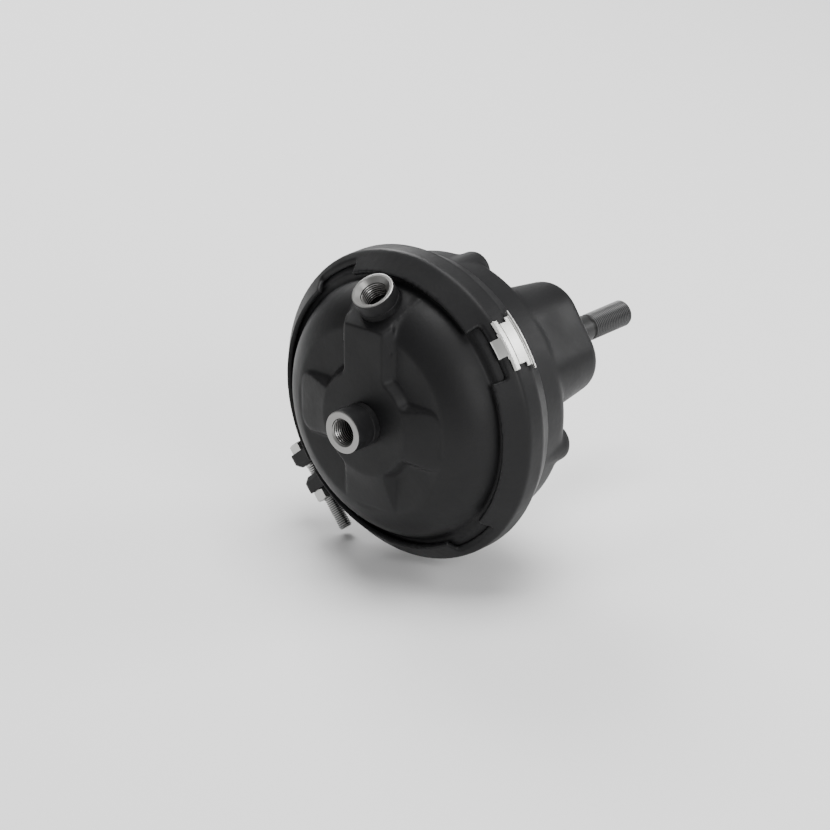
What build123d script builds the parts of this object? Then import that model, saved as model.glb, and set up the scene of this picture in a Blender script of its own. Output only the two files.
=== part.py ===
from build123d import *
from math import atan2, cos, degrees, pi, radians, sin, sqrt
import os

# Air brake chamber, service type 20.
# Millimetres. The origin is the centre of the mounting face, +X runs along the push rod, out of
# the chamber, and +Z points to the upper air port. Angles about the axis run from +Y towards +Z.

os.makedirs("parts", exist_ok=True)

# ---------------------------------------------------------------- driving dimensions
SKIN = 3.0                # wall of the pressure cover
HOUSING_WALL = 3.5        # wall of the rear housing
FIT = 0.2                 # gap between still pieces that seat on each other
RUN = 0.3                 # gap between pieces of different bodies
SLIDE = 0.05              # radial clearance of the push rod in its guide bush

# stations along the rod axis, counted from the mounting face
X_FACE = 0.0              # mounting face
X_SHOULDER = -33.0        # where the round housing body meets the nose
X_BEAD = -76.0            # middle of the clamped diaphragm bead

# clamp ring
RING_R = 90.0
RING_T = 3.0
BAND_W = 11.0             # widest, cylindrical stretch of the ring
LIP_REACH = 17.0          # from the bead to the front edge
LIP_DROP = 10.0           # how far the front edge lies inside the band
TAIL_REACH = 17.0         # from the bead to the rear edge
TAIL_DROP = 6.0           # the same at the rear edge
NOTCH_ANGLES = (57.0, 143.0, 229.0)
NOTCH_SPAN = 22.0         # degrees
NOTCH_DEPTH = 7.5         # cut back from the front edge
SPLIT_ANGLE = 321.0
SPLIT_GAP = 6.0
RIDGE_FILLET = 2.5

# pressure cover
BOWL_R = 35.0             # section radius of the bowl
FLANGE_W = 9.3            # radial width of the flanges beside the bead
FLANGE_GAP = 0.7          # between the flanges and the inside of the ring
FLANGE_REACH = 10.5       # depth of the wedge-shaped flanges
POCKET_INSET = 2.0        # the floor of the four pockets cuts this much off the bowl
PLATEAU_RISE = 6.0        # of the raised middle over the floor of the pockets
PLATEAU_R = 30.0
DRAFT = 4.0               # how far a raised wall leans over its height
ARM_W = 28.0
ARM_FILLET = 5.0
UPPER_ARM_SECTOR = 90.0   # degrees
PAD_FOOT_OUT = 14.0       # from the bowl centre to where the upper arm turns into the pad
PAD_LENGTH = 29.0
PAD_HEAD_W = 42.0
PAD_DEPTH = 12.0
PAD_TAPER = 20.0          # degrees
SHOULDER_FILLET = 2.5

# air ports, M16 x 1.5
PORT_R = 12.3
PORT_BORE_R = 7.2
PORT_MOUTH_W = 2.0        # radial width of the countersink
PORT_STEP = 1.8           # the spigot in the wall is narrower by this
PORT_EDGE = 0.6
PORT_MOUTH_ANGLE = 90.0
CENTRE_PORT_STAND = 17.0
TOP_PORT_STAND = 12.0
TOP_PORT_SPIGOT = 1.2     # short, because the pad's wall is thin near the rim
TOP_PORT_TILT = 56.0      # axis above the -X direction, square to the pad
TOP_PORT_UP = 17.6        # from the foot of the pad
SEAM_R = 0.6              # groove at the weld
SEAM_H = 4.0

# rear housing
BODY_GAP = 0.8            # between the body and the ring's rear edge
BODY_TAPER = 2.7          # how much narrower the body is at the shoulder
NOSE_ANGLE = 146.0
NOSE_END = 15.175         # from a mounting hole to the end of the nose
NOSE_W = 64.0
NOSE_LEAN = 5.0           # the nose widens by this much, each side, towards the body
NOSE_END_LEAN = 1.0       # and lengthens by this much, each end
NOSE_CORNER = 21.0
NOSE_SINK = 9.0           # how far the nose section starts inside the body
FACE_FILLET = 6.0
BODY_FILLET = 9.0
VENT_OFFSETS = (310.0, 50.0, 230.0, 130.0)  # from the nose axis, the last one stays open
VENT_BUMP_R = 11.0
VENT_BUMP_RISE = 4.0      # above the shoulder
VENT_BUMP_FILLET = 3.0
VENT_R = 4.0
VENT_MARGIN = 9.0         # from a vent to the side of the body
PLUG_HEAD_R = 6.5
PLUG_HEAD_T = 1.8

# mounting
STUD_SPACING = 120.65
NUT_THREAD_R = 7.2        # M16 x 1.5
WELD_NUT_WALL = 3.6       # between the thread and the flats
WELD_NUT_H = 13.0
WELD_NUT_COLLAR_T = 1.8
WELD_NUT_SINK = 0.3       # collar stays below the mounting face
STIFFENER_T = 4.0
STIFFENER_END = 5.675     # from a mounting hole to the end of the plate
STIFFENER_W = 44.0
ROD_OPENING_R = 19.0

# push rod
ROD_R = 8.0
ROD_REACH = 112.0         # tip beyond the mounting face, brake released
ROD_THREAD_L = 34.0
ROD_THREAD_DROP = 0.1     # crests of the M16 x 1.5 thread lie this far below the shank
ROD_TIP_CHAMFER = 1.8
ROD_RELIEF_L = 2.0        # groove where the thread ends
ROD_RELIEF_DEPTH = 1.0
ROD_STEP = 2.0            # the spigot riveted through the push plate is narrower by this
PLATE_EDGE = 5.0          # how far the plate passes the bowl centre
PLATE_T = 3.0
PLATE_RIM_H = 3.0
PLATE_RIM_T = 3.0
SOCKET_WALL = 7.0
SOCKET_TIP_WALL = 2.0
SOCKET_H = 14.0

# diaphragm
RUBBER_T = 3.0
BEAD_T = 4.0
CROWN_FILLET = 8.0

# guide and seal
BUSH_WALL = 2.5
BUSH_L = 14.0
BUSH_SINK = 2.0           # its mouth stays below the mounting face
BUSH_LAP = 2.0            # how far the flange passes the rod opening
BUSH_FLANGE_T = 3.0
SEAL_SINK = 1.0
RETAINER_T = 2.0
RETAINER_LAP = 7.0        # how far the retainer passes the bush flange
RETAINER_RIM_T = 1.5
RETAINER_RIM_H = 5.0

# return spring
WIRE_R = 2.0
WIRE_SIDE_COUNT = 8       # the round wire is drawn with flats
SPRING_TURNS = 5.5
SPRING_PLAY = 1.0         # between the small end turn and the retainer rim
SPRING_INSET = 4.0        # between the large end turn and the plate rim

# clamp bolt, M8
BOLT_R = 4.0
BOLT_OUT = 7.0            # from the outside of the ring to the bolt axis
HEAD_AF = 13.0
HEAD_H = 5.3
BOLT_NUT_H = 6.5
LUG_UPPER_T = 9.0
LUG_LOWER_T = 9.5
LUG_HEIGHT = 13.5         # from the outside of the ring to the tip of an ear
LUG_W = 17.0
LUG_CORNER = 4.0
LUG_BEVEL = 3.0
BOLT_TAIL = 20.0

# label clip
CLIP_L = 29.0
CLIP_W = 15.0
CLIP_T = 1.0
CLIP_RAIL_H = 1.2
CLIP_RAIL_T = 1.0
CLIP_EAR = 2.5            # how far the rails run past the plate at each end
CLIP_BITE_W = 6.0
CLIP_BITE_L = 2.5
CLIP_TAB_L = 15.0
CLIP_TAB_REACH = 6.0

# ---------------------------------------------------------------- derived places
LIP_R = RING_R - LIP_DROP
TAIL_R = RING_R - TAIL_DROP
FLANGE_R = RING_R - RING_T - FLANGE_GAP
BOWL_CENTRE_R = FLANGE_R - FLANGE_W - BOWL_R
PAD_FOOT_Z = BOWL_CENTRE_R + PAD_FOOT_OUT
PORT_MOUTH_R = PORT_BORE_R + PORT_MOUTH_W
PORT_ROOT_R = PORT_R - PORT_STEP
BODY_R_FRONT = TAIL_R - RING_T - BODY_GAP
BODY_R_REAR = BODY_R_FRONT - BODY_TAPER
NOSE_HALF_LENGTH = STUD_SPACING / 2 + NOSE_END
VENT_PITCH_R = BODY_R_REAR - VENT_MARGIN
WELD_NUT_AF = 2 * (NUT_THREAD_R + WELD_NUT_WALL)
WELD_NUT_COLLAR_R = NUT_THREAD_R + WELD_NUT_COLLAR_T
STIFFENER_L = STUD_SPACING + 2 * STIFFENER_END
ROD_THREAD_R = ROD_R - ROD_THREAD_DROP
ROD_SPIGOT_R = ROD_R - ROD_STEP
PLATE_R = BOWL_CENTRE_R + PLATE_EDGE
SOCKET_R = ROD_R + SOCKET_WALL
SOCKET_TIP_R = ROD_R + SOCKET_TIP_WALL
BUSH_FLANGE_R = ROD_OPENING_R + BUSH_LAP
RETAINER_R = BUSH_FLANGE_R + RETAINER_LAP
SPRING_R_SMALL = RETAINER_R - RETAINER_RIM_T - WIRE_R - SPRING_PLAY   # to the middle of the wire
SPRING_R_LARGE = PLATE_R - PLATE_RIM_T - WIRE_R - SPRING_INSET
BOLT_AXIS_R = RING_R + BOLT_OUT
LUG_TIP_R = RING_R + LUG_HEIGHT
COVER_SEAT = X_BEAD - BEAD_T / 2
HOUSING_SEAT = X_BEAD + BEAD_T / 2
X_FLOOR = COVER_SEAT - BOWL_R + POCKET_INSET
X_PLATEAU = X_FLOOR - PLATEAU_RISE
RING_FRONT = X_BEAD - LIP_REACH
RING_REAR = X_BEAD + TAIL_REACH
BAND_FRONT = X_BEAD - BAND_W / 2
BAND_REAR = X_BEAD + BAND_W / 2
PLATE_BACK = X_FLOOR + SKIN + FIT + RUBBER_T + RUN   # plate face that meets the diaphragm
PLATE_FRONT = PLATE_BACK + PLATE_T
NOSE_FLOOR = X_FACE - HOUSING_WALL
STIFFENER_BACK = NOSE_FLOOR - STIFFENER_T
BUSH_R = ROD_R + SLIDE + BUSH_WALL
FLANGE_BACK = STIFFENER_BACK - BUSH_FLANGE_T
RETAINER_BACK = FLANGE_BACK - RETAINER_T
UPPER_LUG_END = SPLIT_GAP / 2 + LUG_UPPER_T
LOWER_LUG_END = -SPLIT_GAP / 2 - LUG_LOWER_T


def spoke(angle, radius=0.0, x=0.0):
    """Plane across a spoke of the chamber: local X outwards, local Z along the tangent."""
    a = radians(angle)
    outwards = (0, cos(a), sin(a))
    tangent = (0, -sin(a), cos(a))
    return Plane(
        origin=(x, radius * cos(a), radius * sin(a)), x_dir=outwards, z_dir=tangent
    )


def ring_line(depth):
    """Points of the ring's section, sunk by depth below its outer face: front, band, rear."""
    def sunk(p, q):
        length = sqrt((q[0] - p[0]) ** 2 + (q[1] - p[1]) ** 2)
        nx = (q[1] - p[1]) / length
        nr = -(q[0] - p[0]) / length
        return nx * depth, nr * depth, (q[1] - p[1]) / (q[0] - p[0])

    lip, tail = (RING_FRONT, LIP_R), (RING_REAR, TAIL_R)
    front, rear = (BAND_FRONT, RING_R), (BAND_REAR, RING_R)
    dx1, dr1, slope1 = sunk(lip, front)
    dx2, dr2, slope2 = sunk(rear, tail)
    level = RING_R - depth
    x1 = lip[0] + dx1 + (level - lip[1] - dr1) / slope1
    x2 = tail[0] + dx2 + (level - tail[1] - dr2) / slope2
    return [
        (lip[0] + dx1, lip[1] + dr1),
        (x1, level),
        (x2, level),
        (tail[0] + dx2, tail[1] + dr2),
    ]


def on_line(p, q, x):
    return p[1] + (q[1] - p[1]) * (x - p[0]) / (q[0] - p[0])


def x_at(p, q, r):
    return p[0] + (q[0] - p[0]) * (r - p[1]) / (q[1] - p[1])


def wedge(radius, span):
    """Sector centred on local +X, drawn as a kite."""
    a = radians(span / 2)
    return Polygon(
        (0, 0), (radius * cos(a), -radius * sin(a)), (radius / cos(a), 0),
        (radius * cos(a), radius * sin(a)),
        align=None,
    )


# ---------------------------------------------------------------- pressure cover
def bowl_radius(x, depth=0.0):
    return BOWL_CENTRE_R + sqrt((BOWL_R - depth) ** 2 - (x - COVER_SEAT) ** 2)


def pad_plane(up=0.0):
    """Plane of the inclined pad: local X across the chamber, local Y up the slope."""
    a = radians(TOP_PORT_TILT)
    return Plane(
        origin=(X_PLATEAU + up * sin(a), 0, PAD_FOOT_Z + up * cos(a)),
        x_dir=(0, -1, 0),
        z_dir=(-cos(a), 0, sin(a)),
    )


def cover_form(depth):
    """Outer form of the cover, or its inner form when sunk by the wall thickness."""
    floor = X_FLOOR + depth
    top = X_PLATEAU + depth
    shoulder = bowl_radius(floor, depth)
    seat_edge = BOWL_CENTRE_R + BOWL_R - depth
    half = ARM_W / 2 - depth
    wall_angle = degrees(atan2(DRAFT, X_FLOOR - X_PLATEAU))
    arm = shoulder - SHOULDER_FILLET - DRAFT
    with BuildPart() as form:
        # bowl
        with BuildSketch(Plane.XY):
            with BuildLine():
                Polyline((COVER_SEAT, seat_edge), (COVER_SEAT, 0), (floor, 0), (floor, shoulder))
                RadiusArc((floor, shoulder), (COVER_SEAT, seat_edge), BOWL_R - depth)
            make_face()
        revolve(axis=Axis.X)
        shoulder_edges = form.edges().filter_by(GeomType.CIRCLE).group_by(Axis.X)[0]
        fillet(shoulder_edges, SHOULDER_FILLET)
        # plateau and arms stand on the floor with leaning walls
        with BuildSketch(Plane.YZ.offset(top)):
            Circle(PLATEAU_R - depth)
            with Locations((0, PAD_FOOT_Z / 2)):
                Rectangle(2 * half, PAD_FOOT_Z)
            with Locations((0, -arm / 2)):
                Rectangle(2 * half, arm)
            Rectangle(2 * arm, 2 * half)
            inner_corners = vertices().filter_by(lambda v: abs(v.Y) < PLATEAU_R and abs(v.Z) < PLATEAU_R)
            fillet(inner_corners, ARM_FILLET)
        extrude(amount=floor - top, dir=(1, 0, 0), taper=-wall_angle)
        # three of the arms slope down to the shoulder, the upper one stays level up to the pad
        start = radians(90 + UPPER_ARM_SECTOR / 2)
        with BuildSketch(
            Plane(origin=(0, 0, 0), x_dir=(1, 0, 0), z_dir=(0, -sin(start), cos(start)))
        ):
            Polygon(
                (top, PLATEAU_R - depth), (floor, shoulder), (floor, 2 * shoulder),
                (2 * top - floor, 2 * shoulder), (2 * top - floor, PLATEAU_R - depth),
                align=None,
            )
        revolve(axis=Axis.X, revolution_arc=360 - UPPER_ARM_SECTOR, mode=Mode.SUBTRACT)
        # inclined pad of the upper port
        with BuildSketch(pad_plane().offset(-depth)):
            Polygon(
                (-half, 0), (half, 0), (PAD_HEAD_W / 2 - depth, PAD_LENGTH),
                (depth - PAD_HEAD_W / 2, PAD_LENGTH),
                align=None,
            )
        extrude(amount=-PAD_DEPTH, taper=-PAD_TAPER)
    return form.part


with BuildPart() as pressure_cover:
    add(cover_form(0))
    add(cover_form(SKIN), mode=Mode.SUBTRACT)
    # wedge flange held by the front of the clamp ring
    slope = ring_line(RING_T + FIT)
    toe = COVER_SEAT - FLANGE_REACH
    with BuildSketch(Plane.XY):
        Polygon(
            (toe, bowl_radius(toe, SKIN / 2)), (toe, on_line(slope[0], slope[1], toe)),
            (x_at(slope[0], slope[1], FLANGE_R), FLANGE_R), (COVER_SEAT, FLANGE_R),
            (COVER_SEAT, bowl_radius(COVER_SEAT, SKIN / 2)),
            align=None,
        )
    revolve(axis=Axis.X)
    # seats of the two port bosses
    for seat in (Plane.YZ.offset(X_PLATEAU), pad_plane(TOP_PORT_UP)):
        with Locations(seat):
            Cylinder(PORT_ROOT_R + FIT / 2, 2 * PAD_DEPTH, mode=Mode.SUBTRACT)
    # spot face where the upper boss stands against the rim
    with BuildSketch(pad_plane(TOP_PORT_UP)):
        Circle(PORT_R + FIT)
    extrude(amount=TOP_PORT_STAND, mode=Mode.SUBTRACT)
pressure_cover.part.label = "pressure_cover"
export_step(pressure_cover.part, "parts/pressure_cover.step")


# ---------------------------------------------------------------- air ports
def port_boss(stand, spigot):
    """Threaded boss along local +Z, with a spigot below the wall it is welded to."""
    with BuildPart() as boss:
        Cylinder(PORT_ROOT_R, spigot, align=(Align.CENTER, Align.CENTER, Align.MAX))
        Cylinder(PORT_R, stand, align=(Align.CENTER, Align.CENTER, Align.MIN))
        chamfer(boss.faces().sort_by(Axis.Z)[-1].edges(), PORT_EDGE)
        # groove of the weld seam
        with BuildSketch(Plane.XZ):
            with Locations((PORT_R, SEAM_H)):
                Circle(SEAM_R)
        revolve(axis=Axis.Z, mode=Mode.SUBTRACT)
        with Locations((0, 0, stand)):
            CounterSinkHole(
                PORT_BORE_R, PORT_MOUTH_R, counter_sink_angle=PORT_MOUTH_ANGLE
            )
    return boss.part


with BuildPart() as centre_port_boss:
    with Locations(Plane(origin=(X_PLATEAU, 0, 0), z_dir=(-1, 0, 0))):
        add(port_boss(CENTRE_PORT_STAND, SKIN))
centre_port_boss.part.label = "centre_port_boss"
export_step(centre_port_boss.part, "parts/centre_port_boss.step")

with BuildPart() as top_port_boss:
    with Locations(pad_plane(TOP_PORT_UP)):
        add(port_boss(TOP_PORT_STAND, TOP_PORT_SPIGOT))
top_port_boss.part.label = "top_port_boss"
export_step(top_port_boss.part, "parts/top_port_boss.step")


# ---------------------------------------------------------------- clamp ring and its bolt
with BuildPart() as clamp_ring:
    with BuildSketch(Plane.XY):
        Polygon(*ring_line(0), *reversed(ring_line(RING_T)), align=None)
        fillet(vertices().group_by(Axis.Y)[-1], RIDGE_FILLET)
    revolve(axis=Axis.X)
    # three notches in the front lip
    for angle in NOTCH_ANGLES:
        with BuildSketch(Plane.YZ.offset(RING_FRONT)):
            with Locations(Rotation(0, 0, angle)):
                wedge(RING_R, NOTCH_SPAN)
        extrude(amount=NOTCH_DEPTH, both=True, mode=Mode.SUBTRACT)
    # split
    with Locations(spoke(SPLIT_ANGLE, RING_R, X_BEAD)):
        Box(RING_R / 2, 2 * (LIP_REACH + TAIL_REACH), SPLIT_GAP, mode=Mode.SUBTRACT)
clamp_ring.part.label = "clamp_ring"
export_step(clamp_ring.part, "parts/clamp_ring.step")


def clamp_lug(near, far):
    """Ear welded on the ring beside the split, between two stations along the bolt."""
    with BuildPart() as lug:
        with BuildSketch(spoke(SPLIT_ANGLE, 0, X_BEAD).offset(min(near, far))):
            with Locations((LUG_TIP_R - RING_R / 4, 0)):
                Rectangle(RING_R / 2, LUG_W)
            fillet(vertices().group_by(Axis.X)[-1], LUG_CORNER)
        extrude(amount=abs(far - near))
        # bevel on the side of the split
        tip = lug.faces().sort_by(spoke(SPLIT_ANGLE).location.x_axis)[-1]
        edges = tip.edges().sort_by(spoke(SPLIT_ANGLE).location.z_axis)
        chamfer(edges[0] if near > 0 else edges[-1], LUG_BEVEL)
        # seat on the outside of the ring
        with BuildSketch(Plane.XY):
            Polygon(
                (RING_FRONT, 0), *ring_line(-FIT / 2), (RING_REAR, 0), align=None,
            )
        revolve(axis=Axis.X, mode=Mode.SUBTRACT)
        with Locations(spoke(SPLIT_ANGLE, BOLT_AXIS_R, X_BEAD)):
            Cylinder(BOLT_R + FIT, 8 * LUG_UPPER_T, mode=Mode.SUBTRACT)
    return lug.part


with BuildPart() as clamp_lug_upper:
    add(clamp_lug(SPLIT_GAP / 2, UPPER_LUG_END))
clamp_lug_upper.part.label = "clamp_lug_upper"
export_step(clamp_lug_upper.part, "parts/clamp_lug_upper.step")

with BuildPart() as clamp_lug_lower:
    add(clamp_lug(-SPLIT_GAP / 2, LOWER_LUG_END))
clamp_lug_lower.part.label = "clamp_lug_lower"
export_step(clamp_lug_lower.part, "parts/clamp_lug_lower.step")

with BuildPart() as clamp_bolt:
    with BuildSketch(spoke(SPLIT_ANGLE, BOLT_AXIS_R, X_BEAD).offset(UPPER_LUG_END)):
        RegularPolygon(HEAD_AF / 2, 6, major_radius=False)
    extrude(amount=HEAD_H)
    tail = LOWER_LUG_END - BOLT_NUT_H - BOLT_TAIL
    with BuildSketch(spoke(SPLIT_ANGLE, BOLT_AXIS_R, X_BEAD).offset(tail)):
        Circle(BOLT_R)
    extrude(amount=UPPER_LUG_END - tail)
    chamfer(clamp_bolt.edges().sort_by(spoke(SPLIT_ANGLE).location.z_axis)[0], BOLT_R / 5)
clamp_bolt.part.label = "clamp_bolt"
export_step(clamp_bolt.part, "parts/clamp_bolt.step")

with BuildPart() as clamp_nut:
    with BuildSketch(spoke(SPLIT_ANGLE, BOLT_AXIS_R, X_BEAD).offset(LOWER_LUG_END)):
        RegularPolygon(HEAD_AF / 2, 6, major_radius=False)
        Circle(BOLT_R + FIT / 2, mode=Mode.SUBTRACT)
    extrude(amount=-BOLT_NUT_H)
clamp_nut.part.label = "clamp_nut"
export_step(clamp_nut.part, "parts/clamp_nut.step")


# ---------------------------------------------------------------- label clip
CLIP_ANGLE = NOTCH_ANGLES[1]


def clip_strip(points, length):
    """Strip with the given section, bent round the ring over a length at the clip's place."""
    span = length / RING_R * 180 / pi
    a = radians(CLIP_ANGLE - span / 2)
    section = Plane(origin=(0, 0, 0), x_dir=(1, 0, 0), z_dir=(0, -sin(a), cos(a)))
    with BuildPart() as strip:
        with BuildSketch(section):
            Polygon(*points, align=None)
        revolve(axis=Axis.X, revolution_arc=span)
    return strip.part


with BuildPart() as label_clip:
    low = RING_R + FIT
    high = low + CLIP_T
    front = X_BEAD - CLIP_W / 2
    rear = X_BEAD + CLIP_W / 2
    add(clip_strip([(front, low), (rear, low), (rear, high), (front, high)], CLIP_L))
    # bites at both ends
    for end in (-1, 1):
        with Locations(spoke(CLIP_ANGLE + end * CLIP_L / RING_R * 90 / pi, RING_R, X_BEAD)):
            Box(6 * CLIP_T, CLIP_BITE_W, 2 * CLIP_BITE_L, mode=Mode.SUBTRACT)
    # rails
    for x, length in ((front, CLIP_L), (rear - CLIP_RAIL_T, CLIP_L + 2 * CLIP_EAR)):
        add(
            clip_strip(
                [
                    (x, low), (x + CLIP_RAIL_T, low),
                    (x + CLIP_RAIL_T, high + CLIP_RAIL_H), (x, high + CLIP_RAIL_H),
                ],
                length,
            )
        )
    # tab folded down over the notch
    lip = ring_line(-FIT)
    end_x = front - CLIP_TAB_REACH
    add(
        clip_strip(
            [
                (front, low), (front, high),
                (end_x, on_line(lip[0], lip[1], end_x) + CLIP_T),
                (end_x, on_line(lip[0], lip[1], end_x)),
            ],
            CLIP_TAB_L,
        )
    )
label_clip.part.label = "label_clip"
export_step(label_clip.part, "parts/label_clip.step")


# ---------------------------------------------------------------- rear housing
def nose_plane(x):
    a = radians(NOSE_ANGLE)
    return Plane(origin=(x, 0, 0), x_dir=(0, cos(a), sin(a)), z_dir=(1, 0, 0))


def housing_form(depth):
    """Outer form of the rear housing, or its inner form when sunk by the wall thickness."""
    floor = X_SHOULDER - depth
    face = X_FACE - depth
    root = floor - NOSE_SINK
    lean = NOSE_LEAN * (face - root) / (X_FACE - X_SHOULDER)
    end_lean = NOSE_END_LEAN * (face - root) / (X_FACE - X_SHOULDER)
    long, wide = 2 * (NOSE_HALF_LENGTH - depth), NOSE_W - 2 * depth
    with BuildPart() as form:
        with BuildSketch(Plane.XY):
            Polygon(
                (HOUSING_SEAT, 0), (HOUSING_SEAT, BODY_R_FRONT - depth),
                (RING_REAR, BODY_R_FRONT - depth), (floor, BODY_R_REAR - depth), (floor, 0),
                align=None,
            )
        revolve(axis=Axis.X)
        fillet(form.edges().group_by(Axis.X)[-1], BODY_FILLET - depth)
        # vent bumps at the shoulder
        with BuildSketch(nose_plane(RING_REAR)):
            for offset_angle in VENT_OFFSETS:
                a = radians(offset_angle)
                with Locations((VENT_PITCH_R * cos(a), VENT_PITCH_R * sin(a))):
                    Circle(VENT_BUMP_R - depth)
        extrude(amount=floor + VENT_BUMP_RISE - RING_REAR)
        fillet(form.edges().group_by(Axis.X)[-1], VENT_BUMP_FILLET)
        # nose that carries the mounting face
        with BuildSketch(nose_plane(root)):
            RectangleRounded(long + 2 * end_lean, wide + 2 * lean, NOSE_CORNER - depth + lean)
        with BuildSketch(nose_plane(face)):
            RectangleRounded(long, wide, NOSE_CORNER - depth)
        loft()
        fillet(form.edges().group_by(Axis.X)[-1], FACE_FILLET - depth / 2)
    return form.part


with BuildPart() as rear_housing:
    add(housing_form(0))
    add(housing_form(HOUSING_WALL), mode=Mode.SUBTRACT)
    # wedge flange held by the rear of the clamp ring
    slope = ring_line(RING_T + FIT)
    heel = HOUSING_SEAT + FLANGE_REACH
    inner = BODY_R_FRONT - HOUSING_WALL / 2
    with BuildSketch(Plane.XY):
        Polygon(
            (HOUSING_SEAT, inner), (HOUSING_SEAT, FLANGE_R),
            (x_at(slope[2], slope[3], FLANGE_R), FLANGE_R),
            (heel, on_line(slope[2], slope[3], heel)), (heel, inner),
            align=None,
        )
    revolve(axis=Axis.X)
    # rod opening, two nut collars and the vents
    with BuildSketch(nose_plane(X_FACE)):
        Circle(ROD_OPENING_R)
        with Locations((STUD_SPACING / 2, 0), (-STUD_SPACING / 2, 0)):
            Circle(WELD_NUT_COLLAR_R + FIT / 2)
    extrude(amount=-2 * HOUSING_WALL, mode=Mode.SUBTRACT)
    with BuildSketch(nose_plane(X_SHOULDER + VENT_BUMP_RISE)):
        for offset_angle in VENT_OFFSETS:
            a = radians(offset_angle)
            with Locations((VENT_PITCH_R * cos(a), VENT_PITCH_R * sin(a))):
                Circle(VENT_R)
    extrude(amount=-2 * HOUSING_WALL, mode=Mode.SUBTRACT)
rear_housing.part.label = "rear_housing"
export_step(rear_housing.part, "parts/rear_housing.step")

with BuildPart() as vent_plugs:
    for offset_angle in VENT_OFFSETS[:-1]:
        a = radians(offset_angle)
        place = (VENT_PITCH_R * cos(a), VENT_PITCH_R * sin(a))
        with BuildSketch(nose_plane(X_SHOULDER + VENT_BUMP_RISE)):
            with Locations(place):
                Circle(PLUG_HEAD_R)
        extrude(amount=PLUG_HEAD_T, taper=30)
        with BuildSketch(nose_plane(X_SHOULDER + VENT_BUMP_RISE)):
            with Locations(place):
                Circle(VENT_R - FIT / 2)
        extrude(amount=-1.5 * HOUSING_WALL)
vent_plugs.part.label = "vent_plugs"
export_step(vent_plugs.part, "parts/vent_plugs.step")


# ---------------------------------------------------------------- mounting hardware in the nose
with BuildPart() as nose_stiffener:
    with BuildSketch(nose_plane(NOSE_FLOOR)):
        RectangleRounded(STIFFENER_L, STIFFENER_W, STIFFENER_W / 4)
        Circle(ROD_OPENING_R, mode=Mode.SUBTRACT)
        with Locations((STUD_SPACING / 2, 0), (-STUD_SPACING / 2, 0)):
            Circle(WELD_NUT_COLLAR_R + FIT / 2, mode=Mode.SUBTRACT)
    extrude(amount=-STIFFENER_T)
nose_stiffener.part.label = "nose_stiffener"
export_step(nose_stiffener.part, "parts/nose_stiffener.step")

with BuildPart() as mounting_nuts:
    with BuildSketch(nose_plane(STIFFENER_BACK)):
        with Locations((STUD_SPACING / 2, 0), (-STUD_SPACING / 2, 0)):
            RegularPolygon(WELD_NUT_AF / 2, 6, major_radius=False, rotation=30)
    extrude(amount=-WELD_NUT_H)
    with BuildSketch(nose_plane(STIFFENER_BACK)):
        with Locations((STUD_SPACING / 2, 0), (-STUD_SPACING / 2, 0)):
            Circle(WELD_NUT_COLLAR_R)
    extrude(amount=X_FACE - WELD_NUT_SINK - STIFFENER_BACK)
    with BuildSketch(nose_plane(X_FACE)):
        with Locations((STUD_SPACING / 2, 0), (-STUD_SPACING / 2, 0)):
            Circle(NUT_THREAD_R)
    extrude(amount=STIFFENER_BACK - 2 * WELD_NUT_H, mode=Mode.SUBTRACT)
mounting_nuts.part.label = "mounting_nuts"
export_step(mounting_nuts.part, "parts/mounting_nuts.step")


# ---------------------------------------------------------------- rod guide and seal
def turned(*points):
    """Ring turned about the rod axis from a section of x, radius points."""
    with BuildPart() as ring:
        with BuildSketch(Plane.XY):
            Polygon(*points, align=None)
        revolve(axis=Axis.X)
    return ring.part


with BuildPart() as guide_bush:
    mouth = X_FACE - BUSH_SINK
    add(
        turned(
            (mouth, ROD_R + SLIDE), (mouth, BUSH_R), (STIFFENER_BACK, BUSH_R),
            (STIFFENER_BACK, BUSH_FLANGE_R), (FLANGE_BACK, BUSH_FLANGE_R),
            (FLANGE_BACK, BUSH_R), (mouth - BUSH_L, BUSH_R), (mouth - BUSH_L, ROD_R + SLIDE),
        )
    )
guide_bush.part.label = "guide_bush"
export_step(guide_bush.part, "parts/guide_bush.step")

with BuildPart() as dust_seal:
    add(
        turned(
            (X_FACE - SEAL_SINK - BUSH_SINK, BUSH_R + FIT / 2),
            (X_FACE - SEAL_SINK, (BUSH_R + ROD_OPENING_R) / 2),
            (X_FACE - SEAL_SINK, ROD_OPENING_R - FIT / 2),
            (STIFFENER_BACK, ROD_OPENING_R - FIT / 2), (STIFFENER_BACK, BUSH_R + FIT / 2),
        )
    )
dust_seal.part.label = "dust_seal"
export_step(dust_seal.part, "parts/dust_seal.step")

with BuildPart() as seal_retainer:
    add(
        turned(
            (FLANGE_BACK, BUSH_R + FIT), (FLANGE_BACK, RETAINER_R),
            (RETAINER_BACK - RETAINER_RIM_H, RETAINER_R),
            (RETAINER_BACK - RETAINER_RIM_H, RETAINER_R - RETAINER_RIM_T),
            (RETAINER_BACK, RETAINER_R - RETAINER_RIM_T), (RETAINER_BACK, BUSH_R + FIT),
        )
    )
seal_retainer.part.label = "seal_retainer"
export_step(seal_retainer.part, "parts/seal_retainer.step")


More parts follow.
